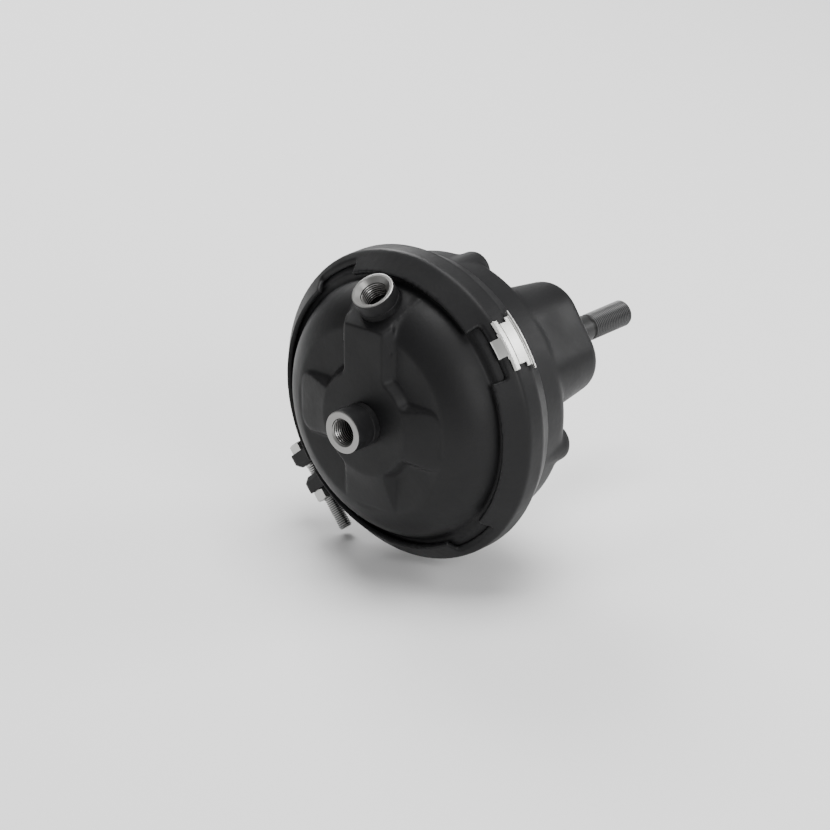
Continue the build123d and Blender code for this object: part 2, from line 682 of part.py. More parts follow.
# ---------------------------------------------------------------- diaphragm
with BuildPart() as diaphragm:
    centre_r = BOWL_CENTRE_R
    outer_r = BOWL_R - SKIN - FIT
    inner_r = outer_r - RUBBER_T
    crown = X_FLOOR + SKIN + FIT
    outer_turn = bowl_radius(crown, SKIN + FIT)
    inner_turn = bowl_radius(crown + RUBBER_T, SKIN + FIT + RUBBER_T)
    with BuildSketch(Plane.XY):
        with BuildLine():
            Line((crown, 0), (crown, outer_turn))
            RadiusArc((crown, outer_turn), (COVER_SEAT, centre_r + outer_r), outer_r)
            Polyline(
                (COVER_SEAT, centre_r + outer_r), (COVER_SEAT, FLANGE_R),
                (HOUSING_SEAT, FLANGE_R), (HOUSING_SEAT, centre_r + inner_r),
                (COVER_SEAT, centre_r + inner_r),
            )
            RadiusArc(
                (COVER_SEAT, centre_r + inner_r), (crown + RUBBER_T, inner_turn), -inner_r
            )
            Polyline((crown + RUBBER_T, inner_turn), (crown + RUBBER_T, 0), (crown, 0))
        make_face()
    revolve(axis=Axis.X)
diaphragm.part.label = "diaphragm"
export_step(diaphragm.part, "parts/diaphragm.step")


# ---------------------------------------------------------------- moving group
with BuildPart() as push_plate:
    rim = PLATE_FRONT + PLATE_RIM_H
    add(
        turned(
            (PLATE_BACK, ROD_SPIGOT_R + FIT / 2), (PLATE_BACK, PLATE_R - PLATE_RIM_T),
            (PLATE_FRONT, PLATE_R), (rim, PLATE_R), (rim, PLATE_R - PLATE_RIM_T),
            (PLATE_FRONT, PLATE_R - PLATE_RIM_T), (PLATE_FRONT, ROD_SPIGOT_R + FIT / 2),
        )
    )
push_plate.part.label = "push_plate"
export_step(push_plate.part, "parts/push_plate.step")

with BuildPart() as rod_socket:
    add(
        turned(
            (PLATE_FRONT, ROD_R + FIT / 2), (PLATE_FRONT, SOCKET_R),
            (PLATE_FRONT + SOCKET_H / 4, SOCKET_R), (PLATE_FRONT + SOCKET_H, SOCKET_TIP_R),
            (PLATE_FRONT + SOCKET_H, ROD_R + FIT / 2),
        )
    )
rod_socket.part.label = "rod_socket"
export_step(rod_socket.part, "parts/rod_socket.step")

with BuildPart() as push_rod:
    with BuildSketch(Plane.YZ.offset(PLATE_FRONT)):
        Circle(ROD_R)
    extrude(amount=ROD_REACH - ROD_THREAD_L - PLATE_FRONT)
    with BuildSketch(Plane.YZ.offset(ROD_REACH - ROD_THREAD_L)):
        Circle(ROD_THREAD_R)
    extrude(amount=ROD_THREAD_L)
    chamfer(push_rod.edges().sort_by(Axis.X)[-1], ROD_TIP_CHAMFER)
    # groove where the thread ends
    with BuildSketch(Plane.YZ.offset(ROD_REACH - ROD_THREAD_L)):
        Circle(2 * ROD_R)
        Circle(ROD_R - ROD_RELIEF_DEPTH, mode=Mode.SUBTRACT)
    extrude(amount=-ROD_RELIEF_L, mode=Mode.SUBTRACT)
    with BuildSketch(Plane.YZ.offset(PLATE_FRONT)):
        Circle(ROD_SPIGOT_R)
    extrude(amount=PLATE_BACK - PLATE_FRONT)
push_rod.part.label = "push_rod"
export_step(push_rod.part, "parts/push_rod.step")

with BuildPart() as return_spring:
    first = RETAINER_BACK - WIRE_R - FIT / 2
    last = PLATE_FRONT + WIRE_R + RUN
    run = first - last
    with BuildLine():
        coil = Helix(
            pitch=run / SPRING_TURNS, height=run, radius=SPRING_R_SMALL,
            center=(first, 0, 0), direction=(-1, 0, 0),
            cone_angle=degrees(atan2(SPRING_R_LARGE - SPRING_R_SMALL, run)),
        )
    with BuildSketch(Plane(origin=coil @ 0, z_dir=coil % 0)):
        RegularPolygon(WIRE_R, WIRE_SIDE_COUNT)
    sweep(is_frenet=True)
return_spring.part.label = "return_spring"
export_step(return_spring.part, "parts/return_spring.step")
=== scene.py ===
# %% [markdown]
# # Air brake chamber
# The chamber arrives as a frame of solid nodes at their real size. This lesson loads that frame,
# gives the painted shells the soft edges that pressing and coating leave, models the threads, the
# hexagon heads and the soft parts, and builds one finish after another from noise and waves.

# %% Load the frame
import bpy
from math import cos, pi, radians, sin, tan
from mathutils import Matrix, Vector


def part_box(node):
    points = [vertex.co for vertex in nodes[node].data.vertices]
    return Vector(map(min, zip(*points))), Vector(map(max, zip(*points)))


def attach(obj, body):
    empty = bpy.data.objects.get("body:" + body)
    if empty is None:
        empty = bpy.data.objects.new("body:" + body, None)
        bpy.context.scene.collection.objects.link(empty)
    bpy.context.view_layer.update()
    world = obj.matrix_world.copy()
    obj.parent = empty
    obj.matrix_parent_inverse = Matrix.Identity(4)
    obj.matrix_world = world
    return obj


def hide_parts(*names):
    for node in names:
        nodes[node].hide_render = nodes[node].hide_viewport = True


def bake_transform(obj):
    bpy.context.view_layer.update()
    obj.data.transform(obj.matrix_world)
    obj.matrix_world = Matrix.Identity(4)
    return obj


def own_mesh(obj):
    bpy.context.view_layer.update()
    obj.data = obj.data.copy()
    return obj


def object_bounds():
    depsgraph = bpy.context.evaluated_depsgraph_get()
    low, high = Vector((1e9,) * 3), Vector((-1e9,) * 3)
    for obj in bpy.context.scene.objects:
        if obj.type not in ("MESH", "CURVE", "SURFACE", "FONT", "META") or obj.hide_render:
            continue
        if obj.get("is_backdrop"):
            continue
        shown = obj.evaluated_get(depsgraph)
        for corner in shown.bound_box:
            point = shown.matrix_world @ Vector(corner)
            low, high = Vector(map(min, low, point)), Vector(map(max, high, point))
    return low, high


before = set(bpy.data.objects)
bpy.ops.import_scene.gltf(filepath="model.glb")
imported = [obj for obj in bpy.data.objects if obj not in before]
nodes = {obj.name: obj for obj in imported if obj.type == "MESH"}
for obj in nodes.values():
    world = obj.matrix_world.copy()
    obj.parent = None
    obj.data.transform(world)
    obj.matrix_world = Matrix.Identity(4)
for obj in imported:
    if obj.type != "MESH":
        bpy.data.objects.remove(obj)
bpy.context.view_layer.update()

for item in bpy.context.selected_objects:
    item.select_set(False)
MM = 0.001
print("nodes in the frame:", len(nodes))

# %% [markdown]
# Most steps below act on the one active object. A few small helpers keep that tidy. They make an
# object the only selected one, apply a modifier at once, run steps in Edit Mode, and hand a
# finished piece to the frame.

# %% Helpers for the active object
def activate(piece):
    bpy.ops.object.select_all(action="DESELECT")
    piece.select_set(True)
    bpy.context.view_layer.objects.active = piece


def apply_modifier(piece, kind, **settings):
    activate(piece)
    modifier = piece.modifiers.new(kind.lower(), kind)
    for name, value in settings.items():
        setattr(modifier, name, value)
    bpy.ops.object.modifier_apply(modifier=modifier.name)


def in_edit_mode(piece, *steps):
    activate(piece)
    bpy.ops.object.mode_set(mode="EDIT")
    bpy.ops.mesh.select_all(action="SELECT")
    for step in steps:
        step()
    bpy.ops.object.mode_set(mode="OBJECT")


def merge_doubles():
    bpy.ops.mesh.remove_doubles(threshold=1e-6)


def face_outwards():
    bpy.ops.mesh.normals_make_consistent(inside=False)


def finish_piece(piece, body, slot, *replaced):
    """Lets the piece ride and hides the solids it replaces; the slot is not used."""
    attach(piece, body)
    if replaced:
        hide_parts(*replaced)
    print(piece.name, "faces", len(piece.data.polygons))


# %% [markdown]
# The cover, the housing, the ring and its ears are pressed steel or castings under a thick coat, so
# no edge on them is sharp. A Bevel would stumble over the many small triangles of a solid's mesh.
# A voxel Remesh of a merged copy gives even quads instead, and a few passes of Smooth then round
# every edge by about the same amount, inside and outside corners alike. Where the cover's pad
# grows out of its arm, a vertex group lets Smooth work longer, so the two sides run together.

# %% Soften a painted shell
def softened(node, voxel, passes):
    copy = nodes[node].copy()
    copy.data = nodes[node].data.copy()
    copy.name = node + "_coated"
    copy.parent = None
    copy.matrix_world = Matrix.Identity(4)
    for key in list(copy.keys()):
        del copy[key]
    bpy.context.collection.objects.link(copy)
    copy.data.materials.clear()
    in_edit_mode(copy, merge_doubles)
    apply_modifier(copy, "REMESH", mode="VOXEL", voxel_size=voxel, use_smooth_shade=True)
    apply_modifier(copy, "SMOOTH", factor=0.5, iterations=passes)
    return copy


def eased(piece, spots, reach, passes):
    """Smooths the mesh again near the spots, less and less towards the reach."""
    group = piece.vertex_groups.new(name="eased")
    for vertex in piece.data.vertices:
        gap = min((vertex.co - Vector(spot)).length for spot in spots)
        if gap < reach:
            group.add([vertex.index], 1 - gap / reach, "REPLACE")
    apply_modifier(piece, "SMOOTH", factor=0.5, iterations=passes, vertex_group=group.name)
    piece.vertex_groups.remove(piece.vertex_groups["eased"])


cover = softened("pressure_cover", 0.95 * MM, 2)
PAD_CORNERS = [(-110.4 * MM, side * 16.4 * MM, 56.0 * MM) for side in (-1, 1)]
ARM_SIDES = [(-111.1 * MM, side * 15.7 * MM, 43.6 * MM) for side in (-1, 1)]
eased(cover, PAD_CORNERS, 9.0 * MM, 40)
eased(cover, ARM_SIDES, 4.0 * MM, 10)
finish_piece(cover, "chamber", "black_coat", "pressure_cover")

housing = softened("rear_housing", 1.2 * MM, 10)
finish_piece(housing, "chamber", "black_coat", "rear_housing")

ring = softened("clamp_ring", 0.85 * MM, 3)
finish_piece(ring, "chamber", "black_coat", "clamp_ring")

ears = []
for node in ("clamp_lug_upper", "clamp_lug_lower"):
    ear = softened(node, 0.35 * MM, 6)
    finish_piece(ear, "chamber", "black_coat", node)
    ears.append(ear)

# %% [markdown]
# Turned parts start as half a profile, a line of radius and height points. Spin carries the line
# round the axis, and merging closes the seam and the poles.

# %% Turn a profile round its axis
def line_mesh(name, points):
    """Object with an open line of (radius, height) points in the XZ plane."""
    mesh = bpy.data.meshes.new(name)
    mesh.from_pydata(
        [(r, 0, h) for r, h in points], [(i, i + 1) for i in range(len(points) - 1)], []
    )
    piece = bpy.data.objects.new(name, mesh)
    bpy.context.collection.objects.link(piece)
    return piece


def turned(name, points, steps=96):
    piece = line_mesh(name, points)
    in_edit_mode(
        piece,
        lambda: bpy.ops.mesh.spin(
            steps=steps, angle=2 * pi, center=(0, 0, 0), axis=(0, 0, 1)
        ),
        lambda: bpy.ops.mesh.select_all(action="SELECT"),
        merge_doubles,
        face_outwards,
    )
    return piece


# %% [markdown]
# A thread is one small V profile carried round and along the axis. The Screw modifier does just
# that: one pitch of the profile, moved one pitch for each turn. Two flat cuts with Bisect close
# the ragged ends, which makes a solid that a Boolean can add or take away.

# %% Screw thread as a solid
CREST_FROM = 0.44
CREST_TO = 0.56


def thread_form(name, major, minor, pitch, start, end, steps=48):
    turns = int((end - start) / pitch) + 4
    low = start - 2 * pitch
    profile = [
        (minor, low),
        (major, low + CREST_FROM * pitch),
        (major, low + CREST_TO * pitch),
        (minor, low + pitch),
    ]
    piece = line_mesh(name, profile)
    apply_modifier(
        piece, "SCREW", axis="Z", angle=2 * pi, screw_offset=pitch, iterations=turns,
        steps=steps, render_steps=steps, use_merge_vertices=False, use_normal_calculate=True,
    )

    def cut(height, keep_above):
        def step():
            bpy.ops.mesh.select_all(action="SELECT")
            bpy.ops.mesh.bisect(
                plane_co=(0, 0, height), plane_no=(0, 0, 1), use_fill=True,
                clear_inner=keep_above, clear_outer=not keep_above,
            )
        return step

    in_edit_mode(
        piece,
        lambda: bpy.ops.mesh.remove_doubles(threshold=2e-6),
        cut(start, True),
        cut(end, False),
        lambda: bpy.ops.mesh.select_all(action="SELECT"),
        face_outwards,
    )
    return piece


def boolean(piece, operation, tool):
    apply_modifier(piece, "BOOLEAN", operation=operation, object=tool, solver="EXACT")
    bpy.data.objects.remove(tool)


def placed(piece, origin, axis, turn=0.0):
    """Moves the mesh so that its Z axis lies along the given axis from the given origin."""
    up = Vector(axis).normalized()
    side = Vector((0, 1, 0)) if abs(up.y) < 0.9 else Vector((0, 0, 1))
    x = side.cross(up).normalized()
    y = up.cross(x)
    matrix = Matrix((x, y, up)).transposed().to_4x4()
    matrix.translation = Vector(origin)
    piece.data.transform(matrix @ Matrix.Rotation(turn, 4, "Z"))
    return piece


# %% [markdown]
# Thread crests get a painted highlight and thread roots a painted shade. Each vertex keeps its
# height above the root as an attribute, and the finishes read it later.

# %% Note the height above the thread's root
def note_thread_height(piece, root, crest, plain=1.0):
    """Height from 0 at the root to 1 at the crest; what lies beyond either gets plain."""
    layer = piece.data.attributes.new("thread_height", "FLOAT", "POINT")
    for vertex, entry in zip(piece.data.vertices, layer.data):
        height = (vertex.co.xy.length - root) / (crest - root)
        in_thread = -0.05 < height < 1.05
        entry.value = min(max(height, 0.0), 1.0) if in_thread else plain


# %% [markdown]
# The push rod is drawn bar with an M16 x 1.5 thread rolled on its end. The thread runs out into a
# short relief groove, and the tip has a lathe chamfer. The thread solid is cut down to an envelope with
# both tapers, so its first and last turns fade as they do on the real rod.

# %% Push rod
ROD_R = 8.0 * MM
ROD_CREST_R = 7.9 * MM
ROD_ROOT_R = 7.0 * MM
ROD_THREAD_L = 34.0 * MM
RELIEF_L = 2.0 * MM
RELIEF_EDGE = 0.4 * MM
JOIN = 0.5 * MM
CREST_GAP = 0.1 * MM
ROD_PITCH = 1.5 * MM
TIP_CHAMFER = 1.8 * MM
RUN_OUT = 1.2 * MM
SPIGOT_R = 6.0 * MM
rod_low, rod_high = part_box("push_rod")
plate_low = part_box("push_plate")[0]
shoulder_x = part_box("rod_socket")[0].x
rod_length = rod_high.x - rod_low.x
neck = rod_length - ROD_THREAD_L

rod = turned(
    "push_rod_turned",
    [
        (0, 0), (SPIGOT_R, 0), (SPIGOT_R, shoulder_x - rod_low.x),
        (ROD_R, shoulder_x - rod_low.x), (ROD_R, neck - RELIEF_L - RELIEF_EDGE),
        (ROD_ROOT_R, neck - RELIEF_L), (ROD_ROOT_R, neck + JOIN), (0, neck + JOIN),
    ],
)
rod_thread = thread_form(
    "rod_thread", ROD_CREST_R, ROD_ROOT_R, ROD_PITCH, neck - JOIN, rod_length + JOIN
)
envelope = turned(
    "rod_envelope",
    [
        (0, neck), (ROD_ROOT_R, neck), (ROD_CREST_R + CREST_GAP, neck + RUN_OUT),
        (ROD_CREST_R + CREST_GAP, rod_length - TIP_CHAMFER),
        (ROD_CREST_R + CREST_GAP - TIP_CHAMFER, rod_length), (0, rod_length),
    ],
)
boolean(rod_thread, "INTERSECT", envelope)
activate(rod_thread)
rod.select_set(True)
bpy.context.view_layer.objects.active = rod
bpy.ops.object.join()
note_thread_height(rod, ROD_ROOT_R, ROD_CREST_R, plain=0.6)
placed(rod, (rod_low.x, 0, 0), (1, 0, 0))
finish_piece(rod, "rod", "phosphate", "push_rod")

# %% [markdown]
# The port bosses are turned from bar, threaded inside, welded in and coated with the cover. The
# mouth is machined bright afterwards. The thread is cut as on a bench: a tap-shaped thread solid is
# taken away from a turned blank whose mouth is already countersunk. The upper port has the wider
# countersink. Its faces are told from the thread's by their 45 degree normals.

# %% Port bosses
PORT_R = 12.3 * MM
PORT_BORE_R = 7.2 * MM
PORT_CREST_R = 8.0 * MM
CENTRE_MOUTH_R = 8.4 * MM
TOP_MOUTH_R = 10.3 * MM
PORT_EDGE = 0.7 * MM
SEAM_AT = 4.0 * MM
SEAM_DEPTH = 0.35 * MM
SPIGOT = 10.5 * MM
CONE_NORMAL = cos(radians(45))
CENTRE_STAND = 17.0 * MM
CENTRE_SPIGOT = 3.0 * MM
TOP_STAND = 12.0 * MM
TOP_SPIGOT = 1.2 * MM
MACHINED_FINISH, THREAD_FINISH, COAT_FINISH = 0, 1, 2


def port_boss(name, stand, spigot, mouth_r, origin, axis):
    mouth_depth = mouth_r - PORT_BORE_R
    blank = turned(
        name,
        [
            (PORT_BORE_R, -spigot), (SPIGOT, -spigot), (SPIGOT, 0), (PORT_R, 0),
            (PORT_R, SEAM_AT - SEAM_DEPTH), (PORT_R - SEAM_DEPTH, SEAM_AT),
            (PORT_R, SEAM_AT + SEAM_DEPTH), (PORT_R, stand - PORT_EDGE),
            (PORT_R - PORT_EDGE * 0.3, stand - PORT_EDGE * 0.3), (PORT_R - PORT_EDGE, stand),
            (mouth_r, stand), (PORT_BORE_R, stand - mouth_depth), (PORT_BORE_R, -spigot),
        ],
    )
    tap = thread_form(
        name + "_tap", PORT_CREST_R, PORT_BORE_R - 0.2 * MM, ROD_PITCH,
        -spigot - 1 * MM, stand + 1 * MM,
    )
    boolean(blank, "DIFFERENCE", tap)
    for face in blank.data.polygons:
        radius = face.center.xy.length
        height = face.center.z
        cone = height > stand - mouth_depth and abs(face.normal.z - CONE_NORMAL) < 0.02
        lip = PORT_CREST_R < radius < PORT_R - PORT_EDGE * 0.2 and height > stand - PORT_EDGE * 1.5
        if cone or lip:
            face.material_index = MACHINED_FINISH
        elif radius < PORT_CREST_R:
            face.material_index = THREAD_FINISH
        else:
            face.material_index = COAT_FINISH
    note_thread_height(blank, PORT_CREST_R, PORT_BORE_R)
    return placed(blank, origin, axis)


PLATEAU_X = -117.0 * MM
TOP_PORT_TILT = radians(56)
TOP_PORT_UP = 17.6 * MM
PAD_FOOT_Z = 56.0 * MM
top_axis = Vector((-cos(TOP_PORT_TILT), 0, sin(TOP_PORT_TILT)))
top_origin = Vector(
    (PLATEAU_X + TOP_PORT_UP * sin(TOP_PORT_TILT), 0, PAD_FOOT_Z + TOP_PORT_UP * cos(TOP_PORT_TILT))
)
centre_port = port_boss(
    "centre_port_threaded", CENTRE_STAND, CENTRE_SPIGOT, CENTRE_MOUTH_R,
    (PLATEAU_X, 0, 0), (-1, 0, 0),
)
top_port = port_boss(
    "top_port_threaded", TOP_STAND, TOP_SPIGOT, TOP_MOUTH_R, top_origin, top_axis
)
finish_piece(centre_port, "chamber", "bright_steel", "centre_port_boss")
finish_piece(top_port, "chamber", "bright_steel", "top_port_boss")

# %% [markdown]
# Bolt heads and nuts are forged hexagons. A lathe cut at about 30 degrees takes their corners
# off, which leaves the curved edges seen on every real head. The same cut is made here: a six-sided
# prism is kept only where it lies inside a turned envelope.

# %% Clamp bolt and nut
BOLT_CREST_R = 3.95 * MM
BOLT_ROOT_R = 3.25 * MM
BOLT_PITCH = 1.25 * MM
ACROSS_FLATS = 13.0 * MM
SPLIT_ANGLE = radians(321)
BOLT_AXIS_R = 97.0 * MM
CLAMP_X = -76.0 * MM
UPPER_EAR_END = 12.0 * MM
LOWER_EAR_END = -12.5 * MM
HEAD_H = 5.3 * MM
NUT_H = 6.5 * MM
BOLT_TAIL = 20.0 * MM
FACE_EDGE = 0.25 * MM
SHANK_FROM = 2.0 * MM
bolt_origin = (CLAMP_X, BOLT_AXIS_R * cos(SPLIT_ANGLE), BOLT_AXIS_R * sin(SPLIT_ANGLE))
bolt_axis = (0, -sin(SPLIT_ANGLE), cos(SPLIT_ANGLE))


def hexagon(name, low, high, chamfer_low, chamfer_high):
    corner_r = ACROSS_FLATS / 2 / cos(radians(30))
    edge = tan(radians(30)) * (corner_r - ACROSS_FLATS / 2 + FACE_EDGE)
    bpy.ops.mesh.primitive_cylinder_add(
        vertices=6, radius=corner_r, depth=high - low, location=(0, 0, (low + high) / 2)
    )
    prism = bpy.context.active_object
    prism.name = name
    bpy.ops.object.transform_apply(location=True, rotation=False, scale=False)
    narrow = ACROSS_FLATS / 2 - FACE_EDGE
    wide = corner_r + 0.05 * MM
    envelope = turned(
        name + "_envelope",
        [
            (0, low), (narrow if chamfer_low else wide, low),
            (wide, low + (edge if chamfer_low else 0.2 * MM)),
            (wide, high - (edge if chamfer_high else 0.2 * MM)),
            (narrow if chamfer_high else wide, high), (0, high),
        ],
    )
    boolean(prism, "INTERSECT", envelope)
    return prism


tail = LOWER_EAR_END - NUT_H - BOLT_TAIL
bolt = hexagon("clamp_bolt_threaded", UPPER_EAR_END, UPPER_EAR_END + HEAD_H, False, True)
shank = turned(
    "bolt_shank",
    [
        (0, SHANK_FROM), (BOLT_CREST_R, SHANK_FROM),
        (BOLT_CREST_R, UPPER_EAR_END), (0, UPPER_EAR_END),
    ],
    steps=48,
)
bolt_thread = thread_form(
    "bolt_thread", BOLT_CREST_R, BOLT_ROOT_R, BOLT_PITCH, tail - JOIN, SHANK_FROM + JOIN, steps=36
)
bolt_envelope = turned(
    "bolt_envelope",
    [
        (0, tail), (BOLT_ROOT_R - 0.2 * MM, tail), (BOLT_CREST_R + CREST_GAP, tail + 1.0 * MM),
        (BOLT_CREST_R + CREST_GAP, SHANK_FROM + 0.2 * MM), (0, SHANK_FROM + 0.2 * MM),
    ],
    steps=48,
)
boolean(bolt_thread, "INTERSECT", bolt_envelope)
activate(bolt)
shank.select_set(True)
bolt_thread.select_set(True)
bpy.ops.object.join()
note_thread_height(bolt, BOLT_ROOT_R, BOLT_CREST_R)
placed(bolt, bolt_origin, bolt_axis)
finish_piece(bolt, "chamber", "zinc", "clamp_bolt")

nut_low = LOWER_EAR_END - NUT_H
nut = hexagon("clamp_nut_tapped", nut_low, LOWER_EAR_END, True, True)
nut_bore = turned(
    "nut_bore",
    [
        (0, nut_low - CREST_GAP), (BOLT_CREST_R + 0.6 * MM, nut_low - CREST_GAP),
        (BOLT_CREST_R + CREST_GAP, nut_low + 0.5 * MM),
        (BOLT_CREST_R + CREST_GAP, LOWER_EAR_END + CREST_GAP), (0, LOWER_EAR_END + CREST_GAP),
    ],
    steps=48,
)
boolean(nut, "DIFFERENCE", nut_bore)
note_thread_height(nut, BOLT_ROOT_R, BOLT_CREST_R)
placed(nut, bolt_origin, bolt_axis)
finish_piece(nut, "chamber", "zinc", "clamp_nut")

# %% [markdown]
# The clip is stamped from thin bright strip. Remesh at a fine voxel keeps the millimetre sheet
# and only breaks its edges. Cubes trim the folded tab to its short lip, and thin turned rings cut
# the three pressed lines that run along the strip.

# %% Label clip
CLIP_ANGLE = radians(143)
CLIP_FRONT_X = CLAMP_X - 7.5 * MM
CLIP_INNER_R = 90.2 * MM
TAB_HALF_L = 5.3 * MM
TAB_REACH = 3.6 * MM
CUTTER = 20 * MM
GROOVE_W = 0.6 * MM
GROOVE_FLOOR = 0.35 * MM
GROOVE_REACH = 3.0 * MM
GROOVE_PLACES = (1.3 * MM, 4.6 * MM, 12.9 * MM)
TAB_GAP = 0.2 * MM


def clip_cutter(x, along):
    """Cube whose middle lies at x, and at a distance along the ring from the clip's middle."""
    bpy.ops.mesh.primitive_cube_add(
        size=CUTTER,
        location=(
            x,
            CLIP_INNER_R * cos(CLIP_ANGLE) - along * sin(CLIP_ANGLE),
            CLIP_INNER_R * sin(CLIP_ANGLE) + along * cos(CLIP_ANGLE),
        ),
        rotation=(CLIP_ANGLE, 0, 0),
    )
    return bpy.context.active_object


clip = softened("label_clip", 0.22 * MM, 2)
for side in (-1, 1):
    tab_side = side * (TAB_HALF_L + CUTTER / 2)
    boolean(clip, "DIFFERENCE", clip_cutter(CLIP_FRONT_X - CUTTER / 2 - TAB_GAP, tab_side))
boolean(clip, "DIFFERENCE", clip_cutter(CLIP_FRONT_X - TAB_REACH - CUTTER / 2, 0))
for place in GROOVE_PLACES:
    groove_x = CLIP_FRONT_X + place
    groove_r = CLIP_INNER_R + GROOVE_FLOOR
    groove = turned(
        "clip_groove",
        [
            (groove_r, groove_x), (groove_r + GROOVE_REACH, groove_x),
            (groove_r + GROOVE_REACH, groove_x + GROOVE_W), (groove_r, groove_x + GROOVE_W),
            (groove_r, groove_x),
        ],
        steps=192,
    )
    placed(groove, (0, 0, 0), (1, 0, 0))
    boolean(clip, "DIFFERENCE", groove)
finish_piece(clip, "chamber", "clip_steel", "label_clip")

# %% [markdown]
# The return spring is a cone of round wire. Its turns follow a helix whose radius grows, and
# each end turn lies flat on its seat. A curve with a round bevel draws it, and it becomes a mesh.

# %% Return spring
WIRE_R = 2.0 * MM
SPRING_SMALL_R = 23.5 * MM
SPRING_LARGE_R = 38.0 * MM
SPRING_TURNS = 5.5
END_TURN = 0.75
RETAINER_STEP = 5.0 * MM
PLATE_STEP = 3.0 * MM
WIRE_POINTS = 240
seat_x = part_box("seal_retainer")[0].x + RETAINER_STEP
spring_low = seat_x - WIRE_R - 0.1 * MM
spring_high = plate_low.x + PLATE_STEP + WIRE_R + 0.3 * MM
curve = bpy.data.curves.new("return_spring_wire", "CURVE")
curve.dimensions = "3D"
curve.bevel_depth = WIRE_R
curve.bevel_resolution = 4
curve.use_fill_caps = True
wire = curve.splines.new("POLY")
wire.points.add(WIRE_POINTS)
for i in range(WIRE_POINTS + 1):
    turn = (SPRING_TURNS + 2 * END_TURN) * i / WIRE_POINTS
    share = min(max((turn - END_TURN) / SPRING_TURNS, 0), 1)
    r = SPRING_SMALL_R + (SPRING_LARGE_R - SPRING_SMALL_R) * share
    x = spring_low + (spring_high - spring_low) * share
    a = 2 * pi * turn
    wire.points[i].co = (x, r * cos(a), r * sin(a), 1)
spring = bpy.data.objects.new("return_spring_coil", curve)
bpy.context.collection.objects.link(spring)
activate(spring)
bpy.ops.object.convert(target="MESH")
finish_piece(spring, "chamber", "spring_steel", "return_spring")

# %% [markdown]
# The diaphragm is a moulded cup of fabric and rubber, clamped by its bead. As the rod moves out,
# the real cup rolls over on itself. Here the cup is softened like the shells and stays in place.

# %% Diaphragm
cup = softened("diaphragm", 1.3 * MM, 6)
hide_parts("diaphragm")
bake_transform(cup)
print(cup.name, "faces", len(cup.data.polygons))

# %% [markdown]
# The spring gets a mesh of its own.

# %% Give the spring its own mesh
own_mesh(spring)

# %% [markdown]
# Every finish below is one Principled shader. What varies over the surface comes from small node
# groups that hand out a value or a height and nothing else. The first gives the fine orange peel
# of sprayed or dipped paint: noise at two sizes, the small one on top of the large one.

# %% Group: paint grain
def new_group(name, inputs, outputs):
    group = bpy.data.node_groups.new(name, "ShaderNodeTree")
    for label, value in inputs:
        socket = group.interface.new_socket(label, in_out="INPUT", socket_type="NodeSocketFloat")
        socket.default_value = value
    for label, kind in outputs:
        group.interface.new_socket(label, in_out="OUTPUT", socket_type=kind)
    source = group.nodes.new("NodeGroupInput")
    target = group.nodes.new("NodeGroupOutput")
    return group, source, target


def object_noise(group, scale, detail, stretch=(1, 1, 1)):
    """Noise over Object coordinates; scale counts features per metre."""
    place = group.nodes.new("ShaderNodeTexCoord")
    mapping = group.nodes.new("ShaderNodeMapping")
    mapping.inputs["Scale"].default_value = stretch
    noise = group.nodes.new("ShaderNodeTexNoise")
    noise.inputs["Scale"].default_value = scale
    noise.inputs["Detail"].default_value = detail
    group.links.new(place.outputs["Object"], mapping.inputs["Vector"])
    group.links.new(mapping.outputs["Vector"], noise.inputs["Vector"])
    return noise


def map_range(group, source, low, high, to_low, to_high):
    node = group.nodes.new("ShaderNodeMapRange")
    for socket, value in zip(("From Min", "From Max"), (low, high)):
        node.inputs[socket].default_value = value
    for socket, value in zip(("To Min", "To Max"), (to_low, to_high)):
        if hasattr(value, "is_linked"):
            group.links.new(value, node.inputs[socket])
        else:
            node.inputs[socket].default_value = value
    group.links.new(source, node.inputs["Value"])
    return node


def maths(group, operation, first, second):
    node = group.nodes.new("ShaderNodeMath")
    node.operation = operation
    for socket, value in zip(node.inputs, (first, second)):
        if hasattr(value, "is_linked"):
            group.links.new(value, socket)
        else:
            socket.default_value = value
    return node


grain, grain_in, grain_out = new_group(
    "paint_grain", [("Fine", 0.3)], [("Height", "NodeSocketFloat")]
)
broad = object_noise(grain, 260, 2)
fine = object_noise(grain, 1500, 3)
fine_part = maths(grain, "MULTIPLY", fine.outputs["Fac"], grain_in.outputs["Fine"])
total = maths(grain, "ADD", broad.outputs["Fac"], fine_part.outputs["Value"])
grain.links.new(total.outputs["Value"], grain_out.inputs["Height"])

# %% [markdown]
# No coat is evenly shiny. The second group gives a slow, cloudy value between two limits, used
# for roughness.

# %% Group: mottle
mottle, mottle_in, mottle_out = new_group(
    "mottle", [("Low", 0.3), ("High", 0.5)], [("Value", "NodeSocketFloat")]
)
clouds = object_noise(mottle, 45, 5)
cloud_range = map_range(
    mottle, clouds.outputs["Fac"], 0.3, 0.7, mottle_in.outputs["Low"], mottle_in.outputs["High"]
)
mottle.links.new(cloud_range.outputs["Result"], mottle_out.inputs["Value"])
